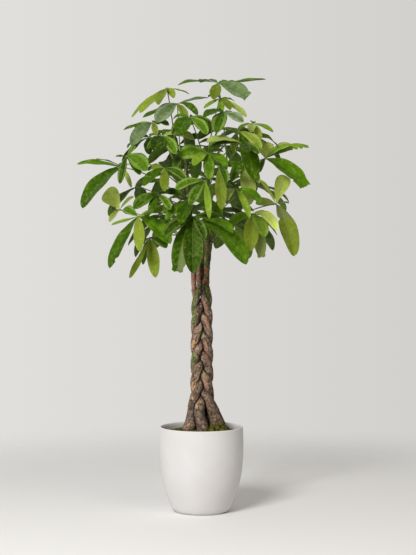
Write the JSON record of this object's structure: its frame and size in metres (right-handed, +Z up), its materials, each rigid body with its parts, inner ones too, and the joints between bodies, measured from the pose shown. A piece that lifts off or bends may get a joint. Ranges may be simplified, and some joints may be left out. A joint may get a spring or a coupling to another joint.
{
  "type": "potted money tree",
  "caption": "Braided money tree with a round crown of hand-shaped leaves, rooted in mossy soil in a plain tapered pot that stands on its flat underside.",
  "frame": {"origin": "centre of the pot's flat underside", "axes": "+Z up along the trunk, -Y towards the side that the picture shows, +X to the right in the picture"},
  "size_m": [0.8321, 0.6748, 1.5556],
  "materials": {
    "pot": "matte",
    "soil": "matte",
    "moss": "matte",
    "stem": "matte",
    "leaf": "satin"
  },
  "bodies": {
    "root": {"leaf_01": "leaf", "leaf_02": "leaf", "leaf_03": "leaf", "leaf_04": "leaf", "leaf_05": "leaf", "leaf_06": "leaf", "leaf_07": "leaf", "leaf_08": "leaf", "leaf_09": "leaf", "leaf_10": "leaf", "leaf_11": "leaf", "leaf_12": "leaf", "leaf_13": "leaf", "leaf_14": "leaf", "leaf_15": "leaf", "leaf_16": "leaf", "leaf_17": "leaf", "leaf_18": "leaf", "leaf_19": "leaf", "leaf_20": "leaf", "leaf_21": "leaf", "leaf_22": "leaf", "leaf_23": "leaf", "leaf_24": "leaf", "leaf_25": "leaf", "leaf_26": "leaf", "leaf_27": "leaf", "leaf_28": "leaf", "leaf_29": "leaf", "leaf_30": "leaf", "leaf_31": "leaf", "leaf_32": "leaf", "leaf_33": "leaf", "leaf_34": "leaf", "leaf_35": "leaf", "leaf_36": "leaf", "leaf_37": "leaf", "leaf_38": "leaf", "leaf_39": "leaf", "leaf_40": "leaf", "leaf_41": "leaf", "leaf_42": "leaf", "leaf_43": "leaf", "leaf_44": "leaf", "leaf_45": "leaf", "leaf_46": "leaf", "leaf_47": "leaf", "leaf_48": "leaf", "leaf_49": "leaf", "moss": "moss", "pot": "pot", "soil": "soil", "stem_1": "stem", "stem_2": "stem", "stem_3": "stem", "stem_4": "stem", "stem_5": "stem"}
  },
  "joints": []
}
